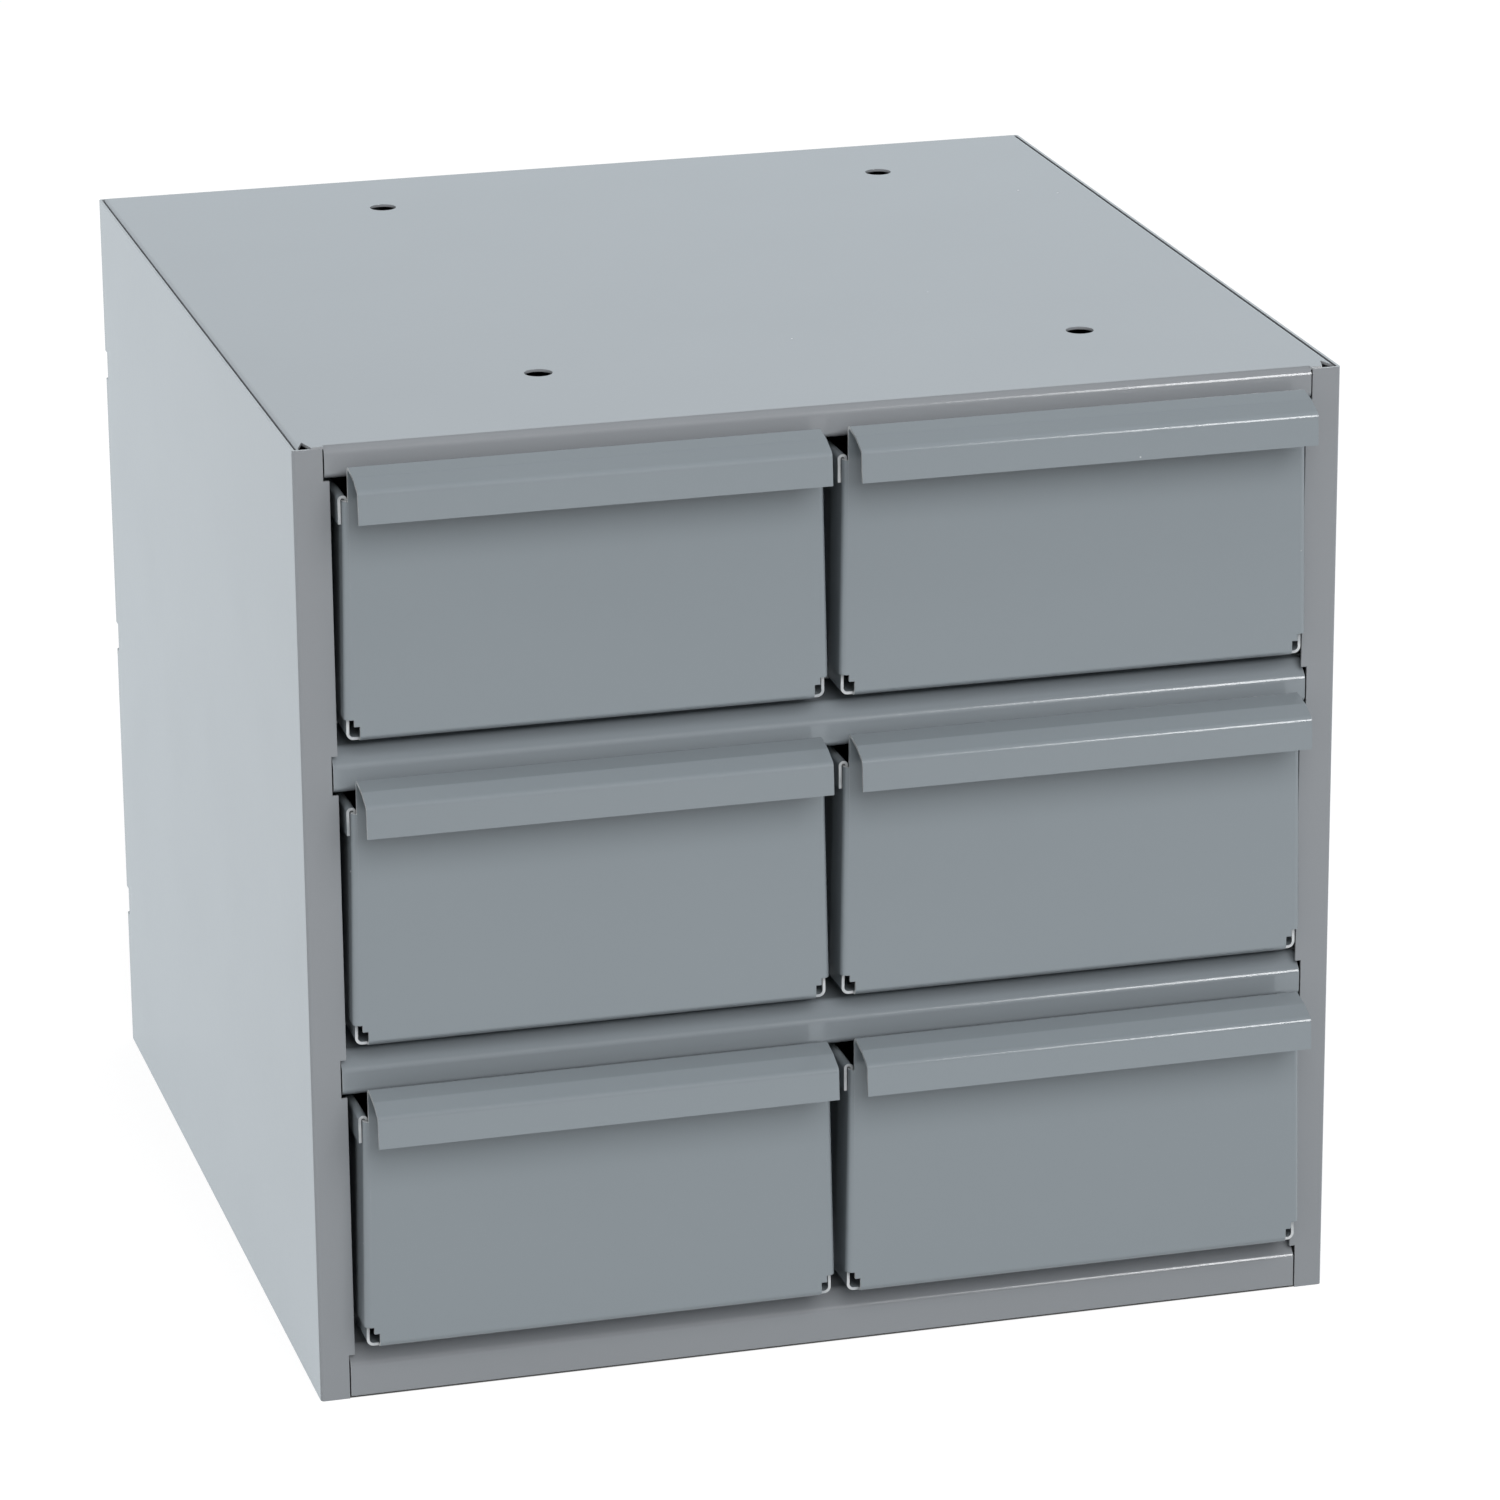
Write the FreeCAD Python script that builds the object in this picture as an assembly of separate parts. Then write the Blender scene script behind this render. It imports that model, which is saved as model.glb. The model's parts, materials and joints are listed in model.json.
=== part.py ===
import FreeCAD, Part
import math
import os

from FreeCAD import Vector

# Small sheet steel cabinet with six drawers, three rows of two.
# Lengths are in millimetres. X runs to the right, Y to the back, Z up.
# The origin is on the ground, midway across and midway between the back and the lowest row's pulls.

# Shell
cabinet_width = 298.5
cabinet_depth = 298.5
cabinet_height = 278.2
sheet = 0.8
bend_radius = 0.5
lap_clearance = 0.05
cut_overrun = 2.0

# Side panels: one sheet each, turned inwards at the front and at the back
front_strip_width = 10.0
rear_strip_width = 8.5
side_bend_radius = 0.25
bottom_setback = 0.6
rear_slot_length = 9.0
rear_slot_reach = 4.0
rear_slot_rise_share = 0.375

# Shelves, and the plate under the bottom row
rows = ("bottom", "middle", "top")
bottom_plate_top = 14.6
top_row_saving = 2.5
lip_drop = 4.5
lip_run = 4.5
shelf_rail_height = 7.8
top_rail_height = 9.2
rail_return = 4.0
rail_bend_radius = 1.6
rail_notch_depth = 1.7
rail_notch_rise = 3.1
rail_end_gap = 0.4
rear_flange_height = 8.0
side_flange_height = 8.0
flange_corner_gap = 2.5

# Top panel: it stands a little above the side panels, with a seam along each
top_rise = 0.4
top_seam = 0.5
top_hole_radius = 4.0
top_hole_spacing_x = 158.8
top_hole_spacing_y = 203.2
top_hole_offset_x = 12.0
top_hole_offset_y = 10.0
corner_relief_inset = 1.7
corner_relief_width = 3.6
corner_relief_depth = 5.5
corner_relief_peak_share = 0.6

# Drawer guides
guide_height = 3.5
guide_shelf = 8.0
guide_front_gap = 16.0
guide_rear_gap = 3.0
side_guide_clearance = 1.1
side_guide_leg = 12.0
side_guide_flange = 8.0
centre_guide_rise = 14.0

# Drawers
columns = ("left", "right")
drawer_side_clearance = 1.1
drawer_centre_gap = 3.5
running_gap = 0.3
closing_gap = 0.4
face_stand_off = 4.2
bottom_row_pulled_out = 4.3
pushed_right = 0.4
pan_bend_radius = 1.2
side_lean = 1.3
hem_headroom = 19.4
hem_height = 8.0
hem_gap = 1.1
hem_radius_share = 0.9

# Drawer fronts and pulls
front_flange_bottom = 6.4
front_flange_depth = 12.0
front_bend_radius = 1.2
shoulder_drop = 1.3
front_headroom = 10.8
pull_inset = 2.4
crest_reach = 7.5
crest_drop = 1.5
slope_reach = 5.5
slope_drop = 2.4
lip_reach = 0.6
lip_height = 8.8
pull_bend_radius = 1.0
relief_width = 1.6
relief_height = 4.4
relief_setback = 0.4

# Drawer backs
back_flange = 8.0
back_foot_inset = 8.2
stop_tab_width = 40.0
stop_tab_rise = 6.0
stop_tab_corner = 2.0

# Sizes that follow from the cabinet's own
drawer_opening = cabinet_width - 2 * front_strip_width - 2 * drawer_side_clearance
drawer_width = (drawer_opening - (len(columns) - 1) * drawer_centre_gap) / len(columns)
column_spacing = drawer_width + drawer_centre_gap
side_height = cabinet_height - top_rise
row_pitch = (cabinet_height + top_row_saving - bottom_plate_top) / len(rows)
hem_top = row_pitch - hem_headroom
shoulder_height = hem_top - shoulder_drop
stop_tab_top = hem_top + stop_tab_rise
front_height = row_pitch - front_headroom
pull_width = drawer_width - 2 * pull_inset
pull_reach = crest_reach + slope_reach + lip_reach
back_foot_width = drawer_width - 2 * back_foot_inset

# Places that several pieces share
front_reach = face_stand_off + sheet + pull_reach + bottom_row_pulled_out
cabinet_middle = front_reach / 2
front_plane = cabinet_middle - cabinet_depth / 2
rear_plane = cabinet_middle + cabinet_depth / 2
side_plane = cabinet_width / 2
back_panel_inside = rear_plane - 2 * sheet
rail_end = side_plane - front_strip_width + rail_notch_depth - rail_end_gap
half_drawer = drawer_width / 2
side_top_outside = half_drawer - sheet - hem_gap
side_foot_outside = side_top_outside + side_lean
guide_length = back_panel_inside - sheet - guide_rear_gap - guide_front_gap - front_plane
drawer_face = front_plane - face_stand_off - sheet
drawer_rear = back_panel_inside - sheet - closing_gap
side_start = drawer_face + sheet + pan_bend_radius + relief_setback


def plate_top(row):
    """Height of the plate that carries a row, counted from the bottom row."""
    return bottom_plate_top + row * row_pitch


def drawer_floor(row):
    """Height of the underside of a row's drawers."""
    return plate_top(row) + guide_height + running_gap


def column_centre(column):
    """X of a drawer's middle."""
    return (column - (len(columns) - 1) / 2) * column_spacing


# Ways of making folded sheet

def in_xy(u, v):
    return Vector(u, v, 0)


def in_xz(u, v):
    return Vector(u, 0, v)


def in_yz(u, v):
    return Vector(0, u, v)


def unit(start, end):
    length = math.hypot(end[0] - start[0], end[1] - start[1])
    return ((end[0] - start[0]) / length, (end[1] - start[1]) / length)


def shift(point, direction, distance):
    return (point[0] + direction[0] * distance, point[1] + direction[1] * distance)


def left_of(direction):
    return (-direction[1], direction[0])


def bend(before, corner, after, radius):
    """Tangent points, centre, side and middle direction of the bend at a corner of the centre line."""
    incoming = unit(before, corner)
    outgoing = unit(corner, after)
    turn = math.atan2(
        incoming[0] * outgoing[1] - incoming[1] * outgoing[0],
        incoming[0] * outgoing[0] + incoming[1] * outgoing[1],
    )
    side = math.copysign(1, turn)
    centre_radius = radius + sheet / 2
    reach = centre_radius * math.tan(abs(turn) / 2)
    start = shift(corner, incoming, -reach)
    end = shift(corner, outgoing, reach)
    centre = shift(start, left_of(incoming), side * centre_radius)
    middle = unit(centre, corner)
    return {
        "start": start,
        "end": end,
        "start_normal": left_of(incoming),
        "end_normal": left_of(outgoing),
        "centre": centre,
        "middle": middle,
        "radius": centre_radius,
        "side": side,
    }


def sheet_side(path, radii, place, offset):
    """Edges of one face of a folded sheet, at an offset to the left of its centre line."""
    edges = []
    direction = unit(path[0], path[1])
    here = shift(path[0], left_of(direction), offset)
    for index in range(1, len(path) - 1):
        turn = bend(path[index - 1], path[index], path[index + 1], radii[index - 1])
        start = shift(turn["start"], turn["start_normal"], offset)
        end = shift(turn["end"], turn["end_normal"], offset)
        middle = shift(turn["centre"], turn["middle"], turn["radius"] - turn["side"] * offset)
        edges.append(Part.makeLine(place(*here), place(*start)))
        edges.append(Part.Arc(place(*start), place(*middle), place(*end)).toShape())
        here = end
    direction = unit(path[-2], path[-1])
    last = shift(path[-1], left_of(direction), offset)
    edges.append(Part.makeLine(place(*here), place(*last)))
    return edges


def folded_wire(path, radii, place):
    """Closed outline of a sheet folded along a centre line."""
    if not isinstance(radii, (list, tuple)):
        radii = [radii] * (len(path) - 2)
    left = sheet_side(path, radii, place, sheet / 2)
    right = sheet_side(path, radii, place, -sheet / 2)
    start_cap = Part.makeLine(left[0].Vertexes[0].Point, right[0].Vertexes[0].Point)
    end_cap = Part.makeLine(left[-1].Vertexes[-1].Point, right[-1].Vertexes[-1].Point)
    return Part.Wire(Part.__sortEdges__(left + right + [start_cap, end_cap]))


def folded_sheet(path, radii, place, start, length):
    """Sheet folded along a centre line, from a start point along a length vector."""
    face = Part.Face(folded_wire(path, radii, place))
    face.translate(start)
    return face.extrude(length)


def outline_solid(points, place, start, length):
    """Straight-sided outline drawn out along a length vector."""
    corners = [place(*point) + start for point in points]
    face = Part.Face(Part.makePolygon(corners + corners[:1]))
    return face.extrude(length)


def block(low, high):
    """Box between two corners."""
    size = Vector(*high) - Vector(*low)
    return Part.makeBox(size.x, size.y, size.z, Vector(*low))


def joined(first, *others):
    """One solid from pieces of one sheet."""
    return first.fuse(list(others)).removeSplitter()


def mirrored_x(shape):
    return shape.mirror(Vector(0, 0, 0), Vector(1, 0, 0))


# Cabinet shell

def side_panel():
    """Left side: front strip, side and rear strip of one sheet, notched for the rails."""
    outer_x = -side_plane + sheet / 2
    path = [
        (-side_plane + front_strip_width, front_plane + sheet / 2),
        (outer_x, front_plane + sheet / 2),
        (outer_x, rear_plane - sheet / 2),
        (-side_plane + rear_strip_width, rear_plane - sheet / 2),
    ]
    panel = folded_sheet(path, side_bend_radius, in_xy, Vector(0, 0, 0), Vector(0, 0, side_height))
    notch_edge = -side_plane + front_strip_width - rail_notch_depth
    cutters = []
    for row in range(len(rows)):
        rail_top = plate_top(row) - lip_drop + rail_notch_rise
        rail_bottom = plate_top(row) - lip_drop - shelf_rail_height - rail_end_gap
        if row == 0:
            rail_bottom = -cut_overrun
        cutters.append(strip_notch(notch_edge, rail_bottom, rail_top))
        cutters.append(rear_slot(plate_top(row) + rear_slot_rise_share * row_pitch))
    top_notch_bottom = cabinet_height - top_rail_height - rail_end_gap
    cutters.append(strip_notch(notch_edge, top_notch_bottom, cabinet_height + cut_overrun))
    return panel.cut(cutters)


def strip_notch(edge, bottom, top):
    """Cutter for the notch in the front strip that a rail's end sits in."""
    low = (edge, front_plane - cut_overrun, bottom)
    high = (-side_plane + front_strip_width + cut_overrun, front_plane + sheet + cut_overrun, top)
    return block(low, high)


def rear_slot(middle):
    """Cutter for the slot through the rear bend, one for each row."""
    low = (-side_plane - cut_overrun, rear_plane - rear_slot_reach, middle - rear_slot_length / 2)
    high = (-side_plane + sheet + side_bend_radius, rear_plane + cut_overrun, middle + rear_slot_length / 2)
    return block(low, high)


def side_flanges(plate_middle, drop, seam, start_y, end_y):
    """Plate with both side flanges turned down beside the side panels."""
    edge = side_plane - sheet - seam - sheet / 2
    path = [
        (-edge, plate_middle - drop),
        (-edge, plate_middle),
        (edge, plate_middle),
        (edge, plate_middle - drop),
    ]
    return folded_sheet(path, bend_radius, in_xz, Vector(0, start_y, 0), Vector(0, end_y - start_y, 0))


def across(path, radii, half_length):
    """Sheet folded along a line in the YZ plane, as long as the rails."""
    return folded_sheet(path, radii, in_yz, Vector(-half_length, 0, 0), Vector(2 * half_length, 0, 0))


def railed_plate(row):
    """Plate under a row: rail, sloping lip, plate, rear flange turned up and side flanges turned down."""
    face = front_plane + sheet / 2
    middle = plate_top(row) - sheet / 2
    lip_foot = plate_top(row) - lip_drop
    rear = back_panel_inside - sheet / 2
    plate_path = [
        (face, lip_foot),
        (face + lip_run, middle),
        (rear, middle),
        (rear, plate_top(row) + rear_flange_height),
    ]
    if row == 0:
        path = [(face, bottom_setback)] + plate_path
        radii = [rail_bend_radius, rail_bend_radius, bend_radius]
        drop = middle - bottom_setback
    else:
        edge = lip_foot - shelf_rail_height + sheet / 2
        path = [(front_plane + rail_return, edge), (face, edge)] + plate_path
        radii = [rail_bend_radius, rail_bend_radius, rail_bend_radius, bend_radius]
        drop = side_flange_height
    flat_start = face + lip_run + flange_corner_gap
    flat_end = back_panel_inside - flange_corner_gap
    return joined(across(path, radii, rail_end), side_flanges(middle, drop, 0, flat_start, flat_end))


def top_panel():
    """Top: plate with a front rail, side flanges, a rear flange and four round holes."""
    face = front_plane + sheet / 2
    middle = cabinet_height - sheet / 2
    edge = cabinet_height - top_rail_height + sheet / 2
    rear = back_panel_inside - sheet / 2
    path = [
        (front_plane + rail_return, edge),
        (face, edge),
        (face, middle),
        (rear, middle),
        (rear, middle - rear_flange_height),
    ]
    radii = [rail_bend_radius, rail_bend_radius, bend_radius]
    flat_start = front_plane + sheet + lap_clearance
    flat_end = back_panel_inside
    flanges = side_flanges(middle, side_flange_height, top_seam, flat_start, flat_end)
    low = (-rail_end, front_plane, edge)
    high = (rail_end, front_plane + sheet + rail_bend_radius, cabinet_height + cut_overrun)
    panel = joined(across(path, radii, rail_end), flanges.cut(block(low, high)))
    cutters = [top_corner_relief(flat_start), mirrored_x(top_corner_relief(flat_start))]
    for sign_x in (-1, 1):
        for sign_y in (-1, 1):
            x = top_hole_offset_x + sign_x * top_hole_spacing_x / 2
            y = cabinet_middle + top_hole_offset_y + sign_y * top_hole_spacing_y / 2
            start = Vector(x, y, cabinet_height - sheet - cut_overrun)
            cutters.append(Part.makeCylinder(top_hole_radius, sheet + 2 * cut_overrun, start))
    return panel.cut(cutters)


def top_corner_relief(front_edge):
    """Cutter for the small triangle left open at a front corner of the top plate."""
    left = -side_plane + corner_relief_inset
    points = [
        (left, front_edge - cut_overrun),
        (left + corner_relief_width, front_edge - cut_overrun),
        (left + corner_relief_width, front_edge),
        (left + corner_relief_width * corner_relief_peak_share, front_edge + corner_relief_depth),
        (left, front_edge),
    ]
    start = Vector(0, 0, cabinet_height - sheet - cut_overrun)
    return outline_solid(points, in_xy, start, Vector(0, 0, sheet + 2 * cut_overrun))


def back_panel():
    """Flat back, inside the rear strips and outside the plates' rear flanges."""
    half = side_plane - sheet - bend_radius
    low = (-half, back_panel_inside, bottom_setback)
    high = (half, back_panel_inside + sheet, cabinet_height - sheet)
    return block(low, high)


# Drawer guides

def side_guide(row):
    """Runner on the left of a row: flange on the side panel, leg beside the drawer, shelf under it."""
    wall = -side_plane + sheet + sheet / 2
    leg = -column_spacing / 2 - half_drawer - side_guide_clearance - sheet / 2
    shelf = plate_top(row) + guide_height - sheet / 2
    path = [
        (wall, shelf + side_guide_leg + side_guide_flange),
        (wall, shelf + side_guide_leg),
        (leg, shelf + side_guide_leg),
        (leg, shelf),
        (leg + guide_shelf, shelf),
    ]
    start_y = front_plane + guide_front_gap
    return folded_sheet(path, bend_radius, in_xz, Vector(0, start_y, 0), Vector(0, guide_length, 0))


def centre_guide(row):
    """Shelf under a row's two drawers, turned down at both edges onto the plate, with a fin between them."""
    shelf = plate_top(row) + guide_height - sheet / 2
    path = [
        (-guide_shelf, plate_top(row)),
        (-guide_shelf, shelf),
        (guide_shelf, shelf),
        (guide_shelf, plate_top(row)),
    ]
    start_y = front_plane + guide_front_gap
    shelves = folded_sheet(path, bend_radius, in_xz, Vector(0, start_y, 0), Vector(0, guide_length, 0))
    fin = block((-sheet, start_y, shelf), (sheet, start_y + guide_length, shelf + centre_guide_rise))
    return joined(shelves, fin)


# Drawers, made on their own floor with the middle of the drawer at X = 0

def side_outside(height):
    """Half width over the side walls at a height above the drawer's underside."""
    rise_share = (height - sheet / 2) / (hem_top - sheet)
    return side_foot_outside + (side_top_outside - side_foot_outside) * rise_share


def leaning_channel(half_width_at, radius, web, flange_end, bottom, top):
    """Channel across the drawer, cut off level, whose flanges follow the lean of the side walls."""
    half_width = half_width_at(bottom)
    height = top - bottom
    edge = half_width - sheet / 2
    path = [(-edge, flange_end), (-edge, web), (cut_overrun, web)]
    half = folded_sheet(
        path, radius, in_xy, Vector(0, 0, bottom - cut_overrun), Vector(0, 0, height + 2 * cut_overrun))
    lean = math.degrees(math.atan2(half_width - half_width_at(top), height))
    half.rotate(Vector(-half_width, 0, bottom), Vector(0, 1, 0), lean)
    low = (-half_width - cut_overrun, min(web, flange_end) - sheet, bottom)
    high = (2 * cut_overrun, max(web, flange_end) + sheet, top)
    half = half.common(block(low, high))
    return joined(half, mirrored_x(half))


def drawer_pan():
    """Floor, hemmed sides, wrapped front and pull of a drawer, folded from one blank."""
    face = drawer_face + sheet / 2
    hem_middle = half_drawer - sheet / 2
    wall_top = side_top_outside - sheet / 2
    wall_foot = side_foot_outside - sheet / 2
    hem_crest = hem_top - sheet / 2
    hem_edge = hem_top - hem_height
    section = [
        (-hem_middle, hem_edge),
        (-hem_middle, hem_crest),
        (-wall_top, hem_crest),
        (-wall_foot, sheet / 2),
        (wall_foot, sheet / 2),
        (wall_top, hem_crest),
        (hem_middle, hem_crest),
        (hem_middle, hem_edge),
    ]
    hem_radius = hem_gap / 2 * hem_radius_share
    radii = [hem_radius, hem_radius, pan_bend_radius, pan_bend_radius, hem_radius, hem_radius]
    trough_length = Vector(0, drawer_rear - side_start, 0)
    trough = folded_sheet(section, radii, in_xz, Vector(0, side_start, 0), trough_length)

    crest_edge = face - crest_reach
    slope_edge = crest_edge - slope_reach
    crest_foot = front_height - crest_drop
    slope_foot = crest_foot - slope_drop
    profile = [
        (side_start, sheet / 2),
        (face, sheet / 2),
        (face, front_height),
        (crest_edge, crest_foot),
        (slope_edge, slope_foot),
        (slope_edge - lip_reach, slope_foot - lip_height),
    ]
    radii = [pan_bend_radius, pull_bend_radius, pull_bend_radius, pull_bend_radius]
    front = across(profile, radii, pull_width / 2)
    front = front.cut([corner_relief(), mirrored_x(corner_relief())])

    flange_end = drawer_face + front_flange_depth
    wrap = leaning_channel(
        wrap_outside, front_bend_radius, face, flange_end, front_flange_bottom, shoulder_height)
    return joined(trough, front, wrap)


def wrap_outside(height):
    """Half width over the front's wrapped flanges."""
    return side_outside(height) + lap_clearance + sheet


def corner_relief():
    """Cutter for the relief at the front's lower left corner."""
    low = (-pull_width / 2 - cut_overrun, drawer_face - cut_overrun, -cut_overrun)
    high = (-pull_width / 2 + relief_width, side_start + cut_overrun, relief_height)
    return block(low, high)


def drawer_back():
    """Back of a drawer: flanges welded inside the pan, and the tab that stops the drawer at the rail."""
    web = drawer_rear - sheet / 2
    bottom = sheet + pan_bend_radius + lap_clearance
    flange_end = drawer_rear - back_flange
    channel = leaning_channel(back_outside, bend_radius, web, flange_end, bottom, hem_top - sheet)
    half_foot = back_foot_width / 2
    low = (-half_foot, drawer_rear - sheet, sheet + lap_clearance)
    high = (half_foot, drawer_rear, bottom + back_flange)
    foot = block(low, high)
    half_tab = stop_tab_width / 2
    tab_points = [
        (-half_tab, hem_top - back_flange),
        (-half_tab, stop_tab_top - stop_tab_corner),
        (-half_tab + stop_tab_corner, stop_tab_top),
        (half_tab - stop_tab_corner, stop_tab_top),
        (half_tab, stop_tab_top - stop_tab_corner),
        (half_tab, hem_top - back_flange),
    ]
    tab = outline_solid(tab_points, in_xz, Vector(0, drawer_rear - sheet, 0), Vector(0, sheet, 0))
    return joined(channel, foot, tab)


def back_outside(height):
    """Half width over the back's flanges, inside the side walls."""
    return side_outside(height) - sheet - lap_clearance


def drawer_place(row, column):
    """Where a drawer rests: over to the right of its play, and the bottom row a little way out."""
    pulled_out = bottom_row_pulled_out if row == 0 else 0
    return Vector(column_centre(column) + pushed_right, -pulled_out, drawer_floor(row))


def placed(shape, place):
    copy = shape.copy()
    copy.translate(place)
    return copy


def save(name, shape):
    solids = len(shape.Solids)
    box = shape.BoundBox
    across_text = f"x {box.XMin:.2f} {box.XMax:.2f}, y {box.YMin:.2f} {box.YMax:.2f}"
    print(f"{name}: solids {solids}, valid {shape.isValid()}, {across_text}, z {box.ZMin:.2f} {box.ZMax:.2f}")
    shape.exportStep(f"parts/{name}.step")


os.makedirs("parts", exist_ok=True)

left_side = side_panel()
save("left_side_panel", left_side)
save("right_side_panel", mirrored_x(left_side))
save("top_panel", top_panel())
save("back_panel", back_panel())
save("bottom_plate", railed_plate(0))
save("lower_shelf", railed_plate(1))
save("upper_shelf", railed_plate(2))

for row, row_name in enumerate(rows):
    guide = side_guide(row)
    save(f"{row_name}_left_guide", guide)
    save(f"{row_name}_right_guide", mirrored_x(guide))
    save(f"{row_name}_centre_guide", centre_guide(row))

pan = drawer_pan()
back = drawer_back()
for row, row_name in enumerate(rows):
    for column, column_name in enumerate(columns):
        place = drawer_place(row, column)
        save(f"{row_name}_{column_name}_drawer", placed(pan, place))
        save(f"{row_name}_{column_name}_drawer_back", placed(back, place))
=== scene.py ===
import json
import math

import bmesh
import bpy
from mathutils import Matrix, Vector

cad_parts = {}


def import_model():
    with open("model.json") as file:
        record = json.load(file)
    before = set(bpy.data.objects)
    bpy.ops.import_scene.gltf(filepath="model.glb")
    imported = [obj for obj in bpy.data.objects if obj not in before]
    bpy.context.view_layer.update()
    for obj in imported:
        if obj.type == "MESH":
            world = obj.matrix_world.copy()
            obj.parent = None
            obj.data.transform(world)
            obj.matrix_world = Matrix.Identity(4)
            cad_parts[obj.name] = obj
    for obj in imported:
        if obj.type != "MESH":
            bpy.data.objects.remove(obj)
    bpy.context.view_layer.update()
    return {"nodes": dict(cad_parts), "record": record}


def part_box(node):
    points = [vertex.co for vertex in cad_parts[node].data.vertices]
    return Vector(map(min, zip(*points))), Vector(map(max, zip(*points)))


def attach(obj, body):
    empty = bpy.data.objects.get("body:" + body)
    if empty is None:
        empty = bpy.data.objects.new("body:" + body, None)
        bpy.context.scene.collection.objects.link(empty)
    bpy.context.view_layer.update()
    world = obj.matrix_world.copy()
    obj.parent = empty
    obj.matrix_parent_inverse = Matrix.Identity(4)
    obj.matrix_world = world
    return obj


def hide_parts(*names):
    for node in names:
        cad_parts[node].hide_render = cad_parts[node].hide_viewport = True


# A grey enamelled sheet steel cabinet with six drawers, in metres, in the frame of its construction.
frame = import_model()

mm = 0.001
white = (1, 1, 1, 1)
scene = bpy.context.scene

# Cabinet sizes that the pieces here follow
shell_low, shell_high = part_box("left_side_panel")
front_plane = shell_low.y
rear_plane = shell_high.y
middle_plane = (front_plane + rear_plane) / 2
shell_height = shell_high.z
shell_half_width = -shell_low.x

# Sheet: how the flats are made whole and the edges rounded
weld_distance = 0.002 * mm
flat_angle = math.radians(0.6)
sharp_angle = math.radians(50)
edge_radius = 0.16 * mm
edge_segments = 2
cut_edge_width = 0.85 * mm
cut_edge_share = 0.8
flat_weight = 100

# Enamel: the paint's gloss, and its patterns with scales in repeats per metre
enamel_roughness = 0.15
enamel_ior = 1.5
enamel_specular = 0.5
drift_scale = 9.0
drift_limits = (0.3, 0.7)
dust_scale = 95.0
dust_size = (0.018, 0.035)
dust_rarity = (0.93, 0.96)
dust_amount = 0.8
dust_roughness = 0.3
dust_colour = (0.82, 0.84, 0.85, 1)
# Cut edges are painted lighter, partly as bare steel and partly as a painted highlight where they catch
# the light; noise patches break this up along the edge
edge_patch_scale = 130.0
edge_patch_limits = (0.3, 0.6)
least_edge_patch = 0.35
bare_and_highlight_colour = (0.70, 0.72, 0.73, 1)
smear_scale = 28.0
smear_limits = (0.3, 0.75)
smear_roughness = (-0.015, 0.02)
wave_scale = 11.0
wave_depth = 0.9 * mm
wave_amount = 0.12
peel_scale = 620.0
peel_depth = 0.05 * mm
peel_amount = 0.3


# Shader node helpers

def new_group(name, inputs, outputs):
    """Empty shader group with named sockets; inputs are (name, kind, value), outputs (name, kind)."""
    group = bpy.data.node_groups.new(name, "ShaderNodeTree")
    for socket_name, kind, value in inputs:
        socket = group.interface.new_socket(socket_name, in_out="INPUT", socket_type=kind)
        socket.default_value = value
    for socket_name, kind in outputs:
        group.interface.new_socket(socket_name, in_out="OUTPUT", socket_type=kind)
    return group


def add(tree, kind, values=(), **settings):
    """Node of a kind, with settings as attributes and values on its input sockets."""
    node = tree.nodes.new(kind)
    for key, value in settings.items():
        setattr(node, key, value)
    for key, value in dict(values).items():
        node.inputs[key].default_value = value
    return node


def link(tree, source, target):
    tree.links.new(source, target)


def feed(tree, sockets, values):
    """Link each socket where its value is another node's output, and set it where it is plain."""
    for socket, value in zip(sockets, values):
        if isinstance(value, bpy.types.NodeSocket):
            link(tree, value, socket)
        else:
            socket.default_value = value


def noise(tree, vector, scale, detail=2.0, roughness=0.5):
    node = add(tree, "ShaderNodeTexNoise", {"Scale": scale, "Detail": detail, "Roughness": roughness})
    link(tree, vector, node.inputs["Vector"])
    return node.outputs["Fac"]


def remap(tree, value, limits, results=(0.0, 1.0)):
    """Ease a value that lies between two limits to one between two results."""
    node = add(tree, "ShaderNodeMapRange", interpolation_type="SMOOTHSTEP")
    node.inputs["From Min"].default_value, node.inputs["From Max"].default_value = limits
    node.inputs["To Min"].default_value, node.inputs["To Max"].default_value = results
    link(tree, value, node.inputs["Value"])
    return node.outputs["Result"]


def arithmetic(tree, operation, first, second):
    node = add(tree, "ShaderNodeMath", operation=operation)
    feed(tree, node.inputs, (first, second))
    return node.outputs["Value"]


def mix_value(tree, factor, first, second):
    node = add(tree, "ShaderNodeMix", data_type="FLOAT")
    feed(tree, (node.inputs[0], node.inputs[2], node.inputs[3]), (factor, first, second))
    return node.outputs[0]


def mix_colour(tree, factor, first, second):
    node = add(tree, "ShaderNodeMix", data_type="RGBA")
    feed(tree, (node.inputs[0], node.inputs[6], node.inputs[7]), (factor, first, second))
    return node.outputs[2]


# Enamel on sheet steel: tone drift, orange peel, dust specks, and cut edges painted lighter, partly as
# bare steel and partly as a painted highlight where the edges catch the light

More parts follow.
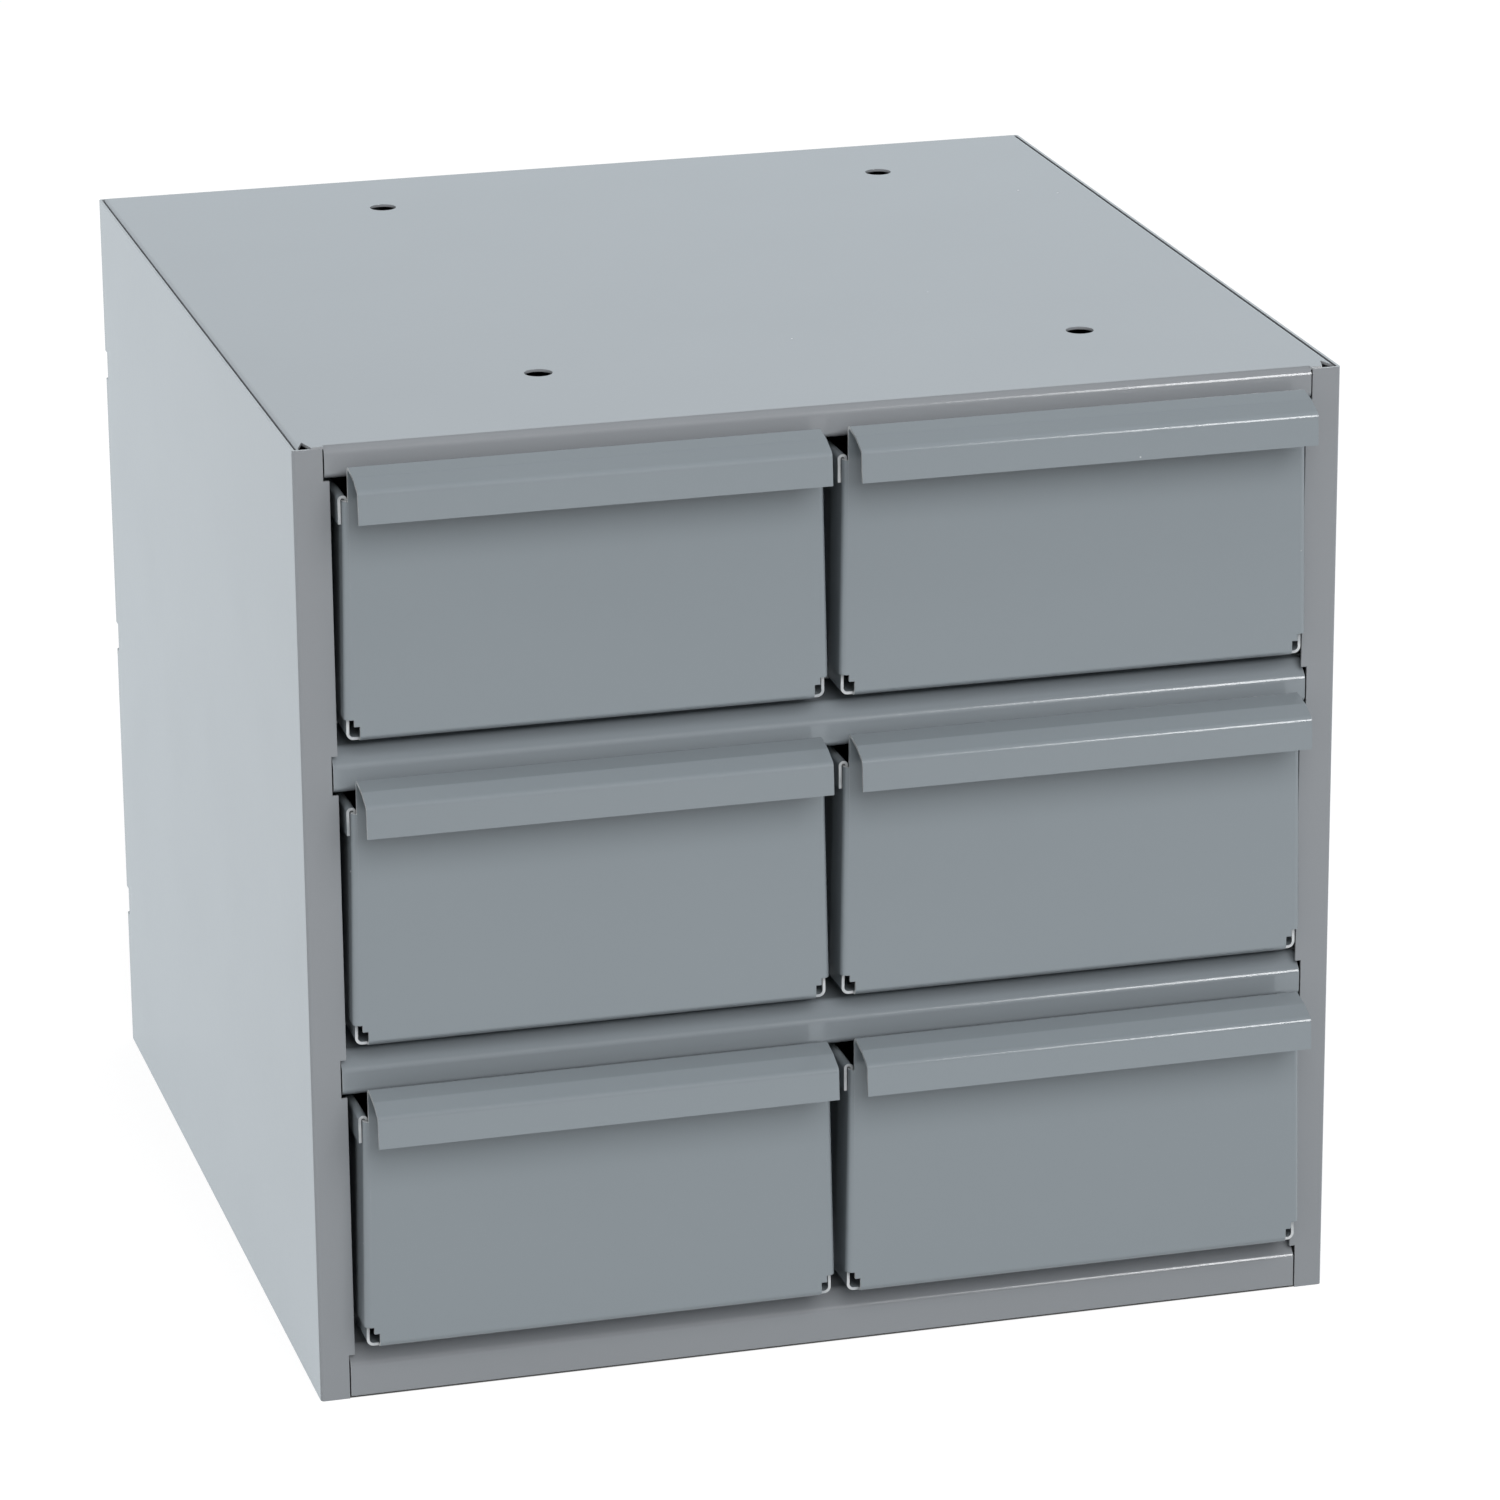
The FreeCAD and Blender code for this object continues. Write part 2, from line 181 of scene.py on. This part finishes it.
def enamel_group():
    group = new_group(
        "enamel_surface",
        [
            ("Colour", "NodeSocketColor", (0.5, 0.5, 0.5, 1)),
            ("Drift Colour", "NodeSocketColor", (0.5, 0.5, 0.5, 1)),
            ("Speck Amount", "NodeSocketFloat", dust_amount),
            ("Bare And Highlight Edge", "NodeSocketFloat", 0.5),
            ("Peel Height", "NodeSocketFloat", peel_amount),
            ("Wave Height", "NodeSocketFloat", wave_amount),
            ("Roughness", "NodeSocketFloat", enamel_roughness),
        ],
        [
            ("Colour", "NodeSocketColor"),
            ("Roughness", "NodeSocketFloat"),
            ("Normal", "NodeSocketVector"),
        ],
    )
    start = group.nodes.new("NodeGroupInput")
    end = group.nodes.new("NodeGroupOutput")
    place = group.nodes.new("ShaderNodeTexCoord").outputs["Object"]

    drift = remap(group, noise(group, place, drift_scale, detail=3.0), drift_limits)
    colour = mix_colour(group, drift, start.outputs["Colour"], start.outputs["Drift Colour"])

    cells = add(group, "ShaderNodeTexVoronoi", {"Scale": dust_scale, "Randomness": 1.0})
    link(group, place, cells.inputs["Vector"])
    near = remap(group, cells.outputs["Distance"], dust_size, (1.0, 0.0))
    chosen = add(group, "ShaderNodeSeparateColor")
    link(group, cells.outputs["Color"], chosen.inputs["Color"])
    rare = remap(group, chosen.outputs["Red"], dust_rarity)
    speck = arithmetic(group, "MULTIPLY", near, rare)
    speck = arithmetic(group, "MULTIPLY", speck, start.outputs["Speck Amount"])
    colour = mix_colour(group, speck, colour, dust_colour)

    # Painted highlight and bare steel: the marked cut edges are mixed towards a lighter colour
    rim = add(group, "ShaderNodeAttribute", attribute_name="rim")
    edge_patches = remap(group, noise(group, place, edge_patch_scale, detail=4.0), edge_patch_limits, (least_edge_patch, 1.0))
    bare_and_highlit_edge = arithmetic(group, "MULTIPLY", rim.outputs["Fac"], edge_patches)
    bare_and_highlit_edge = arithmetic(group, "MULTIPLY", bare_and_highlit_edge, start.outputs["Bare And Highlight Edge"])
    colour = mix_colour(group, bare_and_highlit_edge, colour, bare_and_highlight_colour)
    link(group, colour, end.inputs["Colour"])

    smear = remap(group, noise(group, place, smear_scale, 5.0, 0.6), smear_limits, smear_roughness)
    rough = arithmetic(group, "ADD", start.outputs["Roughness"], smear)
    rough = arithmetic(group, "ADD", rough, arithmetic(group, "MULTIPLY", speck, dust_roughness))
    link(group, rough, end.inputs["Roughness"])

    wave = add(group, "ShaderNodeBump", {"Distance": wave_depth})
    link(group, start.outputs["Wave Height"], wave.inputs["Strength"])
    link(group, noise(group, place, wave_scale, detail=1.0), wave.inputs["Height"])
    peel = add(group, "ShaderNodeBump", {"Distance": peel_depth})
    link(group, start.outputs["Peel Height"], peel.inputs["Strength"])
    link(group, noise(group, place, peel_scale), peel.inputs["Height"])
    link(group, wave.outputs["Normal"], peel.inputs["Normal"])
    link(group, peel.outputs["Normal"], end.inputs["Normal"])
    return group


enamel = enamel_group()


def enamel_material(name, colour, drift_colour, bare_and_highlight_edge):
    material = bpy.data.materials.new(name)
    material.use_nodes = True
    tree = material.node_tree
    shader = tree.nodes["Principled BSDF"]
    surface = add(tree, "ShaderNodeGroup", node_tree=enamel)
    values = {
        "Colour": colour,
        "Drift Colour": drift_colour,
        "Speck Amount": dust_amount,
        "Bare And Highlight Edge": bare_and_highlight_edge,
        "Peel Height": peel_amount,
        "Wave Height": wave_amount,
        "Roughness": enamel_roughness,
    }
    for key, value in values.items():
        surface.inputs[key].default_value = value
    link(tree, surface.outputs["Colour"], shader.inputs["Base Color"])
    link(tree, surface.outputs["Roughness"], shader.inputs["Roughness"])
    link(tree, surface.outputs["Normal"], shader.inputs["Normal"])
    shader.inputs["Metallic"].default_value = 0.0
    shader.inputs["IOR"].default_value = enamel_ior
    shader.inputs["Specular IOR Level"].default_value = enamel_specular
    return material


# The last value sets how strongly the cut edges are painted lighter, as bare steel and painted
# highlight; it is strongest on the drawers
shell_enamel = enamel_material("shell_enamel", (0.254, 0.268, 0.285, 1), (0.250, 0.264, 0.281, 1), 0.2)
shelf_enamel = enamel_material("shelf_enamel", (0.236, 0.264, 0.286, 1), (0.232, 0.260, 0.282, 1), 0.2)
drawer_enamel = enamel_material("drawer_enamel", (0.235, 0.266, 0.288, 1), (0.231, 0.262, 0.284, 1), 0.8)


# Folded sheet pieces, each finished from its own construction

def is_cut_edge(face, rounded):
    """True for a rounded edge and for the narrow face between two of them."""
    if face in rounded:
        return True
    outline = face.calc_perimeter()
    if 2 * face.calc_area() / outline > cut_edge_width:
        return False
    edged = [edge for edge in face.edges if any(other in rounded for other in edge.link_faces)]
    return sum(edge.calc_length() for edge in edged) > cut_edge_share * outline


def sheet_piece(node, body, material):
    """The node's sheet with its flats made whole and its cut edges rounded."""
    mesh = bmesh.new()
    mesh.from_mesh(frame["nodes"][node].data)
    bmesh.ops.remove_doubles(mesh, verts=mesh.verts, dist=weld_distance)
    bmesh.ops.dissolve_limit(mesh, angle_limit=flat_angle, verts=mesh.verts, edges=mesh.edges)
    sharp = [
        edge for edge in mesh.edges
        if len(edge.link_faces) == 2 and edge.calc_face_angle() > sharp_angle
    ]
    # Marks the cut edges that get the lighter colour, which paints bare steel and a highlight on them
    rim = mesh.loops.layers.float.new("rim")
    bevel = bmesh.ops.bevel(
        mesh, geom=sharp, affect="EDGES", offset=edge_radius, offset_type="OFFSET",
        segments=edge_segments, profile=0.5, material=-1, clamp_overlap=True)
    rounded = set(bevel["faces"])
    for face in mesh.faces:
        face.smooth = True
        lighter_edge = 1.0 if is_cut_edge(face, rounded) else 0.0
        for corner in face.loops:
            corner[rim] = lighter_edge
    data = bpy.data.meshes.new(node + "_sheet")
    mesh.to_mesh(data)
    mesh.free()
    data.materials.append(material)
    piece = bpy.data.objects.new(node + "_sheet", data)
    scene.collection.objects.link(piece)
    normals = piece.modifiers.new("flats", "WEIGHTED_NORMAL")
    normals.weight = flat_weight
    normals.keep_sharp = True
    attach(piece, body)
    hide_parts(node)
    return piece


for body, nodes in frame["record"]["behaviour"]["bodies"].items():
    for node in nodes:
        if "drawer" in node:
            sheet_piece(node, body, drawer_enamel)
        elif "shelf" in node:
            sheet_piece(node, body, shelf_enamel)
        else:
            sheet_piece(node, body, shell_enamel)


# Floor: white to the camera, dimmer in the gloss towards the front, and without glow under the cabinet

floor_half = 6.0
floor_shade = (0.35, 0.35, 0.35, 1)
floor_roughness = 0.9
floor_specular = 0.1
floor_glow = 0.80
mirrored_floor_share = 1.2
front_fade = (-1.1, -0.3)
front_fade_share = 0.2
footprint_inset = 0.4 * mm
backdrop_tint = (0.84, 0.94, 1.0, 1)


def open_floor(tree, place):
    """One outside the cabinet's footprint and zero under it."""
    half_depth = rear_plane - middle_plane
    sideways = arithmetic(tree, "ABSOLUTE", place.outputs["X"], 0.0)
    lengthways = arithmetic(tree, "SUBTRACT", place.outputs["Y"], middle_plane)
    lengthways = arithmetic(tree, "ABSOLUTE", lengthways, 0.0)
    beside = arithmetic(tree, "GREATER_THAN", sideways, shell_half_width - footprint_inset)
    beyond = arithmetic(tree, "GREATER_THAN", lengthways, half_depth - footprint_inset)
    return arithmetic(tree, "MAXIMUM", beside, beyond)


def floor():
    mesh = bmesh.new()
    bmesh.ops.create_grid(mesh, x_segments=1, y_segments=1, size=floor_half)
    data = bpy.data.meshes.new("floor")
    mesh.to_mesh(data)
    mesh.free()
    piece = bpy.data.objects.new("floor", data)
    scene.collection.objects.link(piece)
    material = bpy.data.materials.new("pale_floor")
    material.use_nodes = True
    tree = material.node_tree
    shader = tree.nodes["Principled BSDF"]
    shader.inputs["Base Color"].default_value = floor_shade
    shader.inputs["Roughness"].default_value = floor_roughness
    shader.inputs["Specular IOR Level"].default_value = floor_specular
    path = add(tree, "ShaderNodeLightPath")
    place = add(tree, "ShaderNodeSeparateXYZ")
    link(tree, add(tree, "ShaderNodeTexCoord").outputs["Object"], place.inputs["Vector"])
    front = remap(tree, place.outputs["Y"], front_fade, (front_fade_share, 1.0))
    mirrored = arithmetic(tree, "MULTIPLY", path.outputs["Is Glossy Ray"], front)
    mirrored = arithmetic(tree, "MULTIPLY", mirrored, mirrored_floor_share)
    shown = arithmetic(tree, "MAXIMUM", path.outputs["Is Camera Ray"], mirrored)
    shown = arithmetic(tree, "MULTIPLY", shown, open_floor(tree, place))
    tint = mix_colour(tree, path.outputs["Is Glossy Ray"], white, backdrop_tint)
    link(tree, tint, shader.inputs["Emission Color"])
    link(tree, arithmetic(tree, "MULTIPLY", shown, floor_glow), shader.inputs["Emission Strength"])
    data.materials.append(material)
    return piece


# World: white to the camera, a pale backdrop and a dim room to the gloss, a soft sky to the paint

horizon_level = 0.75
zenith_level = 0.44
sky_heights = (0.1, 0.9)
room_level = 0.1
backdrop_level = 1.22
backdrop_reach = (-0.3, 0.3)
ceiling_share = 0.15
ceiling_heights = (0.4, 0.7)


def world():
    sky = bpy.data.worlds.new("studio")
    scene.world = sky
    sky.use_nodes = True
    tree = sky.node_tree
    background = tree.nodes["Background"]
    path = add(tree, "ShaderNodeLightPath")
    direction = add(tree, "ShaderNodeSeparateXYZ")
    link(tree, add(tree, "ShaderNodeTexCoord").outputs["Generated"], direction.inputs["Vector"])
    backdrop = remap(tree, direction.outputs["Y"], backdrop_reach, (room_level, backdrop_level))
    ceiling = remap(tree, direction.outputs["Z"], ceiling_heights, (1.0, ceiling_share))
    mirrored = arithmetic(tree, "MULTIPLY", backdrop, ceiling)
    ambient = remap(tree, direction.outputs["Z"], sky_heights, (horizon_level, zenith_level))
    level = mix_value(tree, path.outputs["Is Glossy Ray"], ambient, mirrored)
    level = mix_value(tree, path.outputs["Is Camera Ray"], level, 1.0)
    tint = mix_colour(tree, path.outputs["Is Glossy Ray"], white, backdrop_tint)
    link(tree, tint, background.inputs["Color"])
    link(tree, level, background.inputs["Strength"])


# Lamps: one softbox to the left, one in front, and a tall lamp that only draws lines on the bends

lamp_target = Vector((0, middle_plane, shell_height / 2))
lamps = {
    "left_softbox": {
        "place": (-2.2, 0.2, 1.3),
        "width": 1.8,
        "height": 1.8,
        "power": 11,
    },
    "front_softbox": {
        "place": (0.15, -1.85, 1.35),
        "width": 1.5,
        "height": 1.3,
        "power": 30,
        "in_gloss": False,
    },
    "front_lamp": {
        "place": (0.74, -1.75, 0.8),
        "width": 0.2,
        "height": 0.8,
        "power": 8.5,
        "on_paint": False,
    },
}


def area_lamp(name, place, width, height, power, on_paint=True, in_gloss=True):
    lamp = bpy.data.lights.new(name, "AREA")
    lamp.shape = "RECTANGLE"
    lamp.size = width
    lamp.size_y = height
    lamp.energy = power
    holder = bpy.data.objects.new(name, lamp)
    holder.location = place
    holder.rotation_euler = (lamp_target - Vector(place)).to_track_quat("-Z", "Y").to_euler()
    holder.visible_diffuse = on_paint
    holder.visible_glossy = in_gloss
    scene.collection.objects.link(holder)
    return holder


# Camera: fitted to the photograph's corners of the shell, its angles in degrees

camera_place = Vector((-471.8, -1649.7, 752.4)) * mm + Vector((0, front_plane, 0))
camera_turn = 15.228
camera_fall = 18.470
camera_roll = -0.456
focal_pixels = 6497.1
photo_pixels = 1500
sensor_width = 36.0
nearest_view = 0.1
farthest_view = 50


def camera():
    data = bpy.data.cameras.new("camera")
    data.sensor_width = sensor_width
    data.lens = focal_pixels / photo_pixels * sensor_width
    data.clip_start = nearest_view
    data.clip_end = farthest_view
    eye = bpy.data.objects.new("camera", data)
    turn = Matrix.Rotation(math.radians(-camera_turn), 4, "Z")
    fall = Matrix.Rotation(math.radians(90 - camera_fall), 4, "X")
    roll = Matrix.Rotation(math.radians(camera_roll), 4, "Z")
    eye.matrix_world = Matrix.Translation(camera_place) @ turn @ fall @ roll
    scene.collection.objects.link(eye)
    scene.camera = eye


floor()
world()
for lamp_name, settings in lamps.items():
    area_lamp(lamp_name, **settings)
camera()

scene.view_settings.view_transform = "Standard"
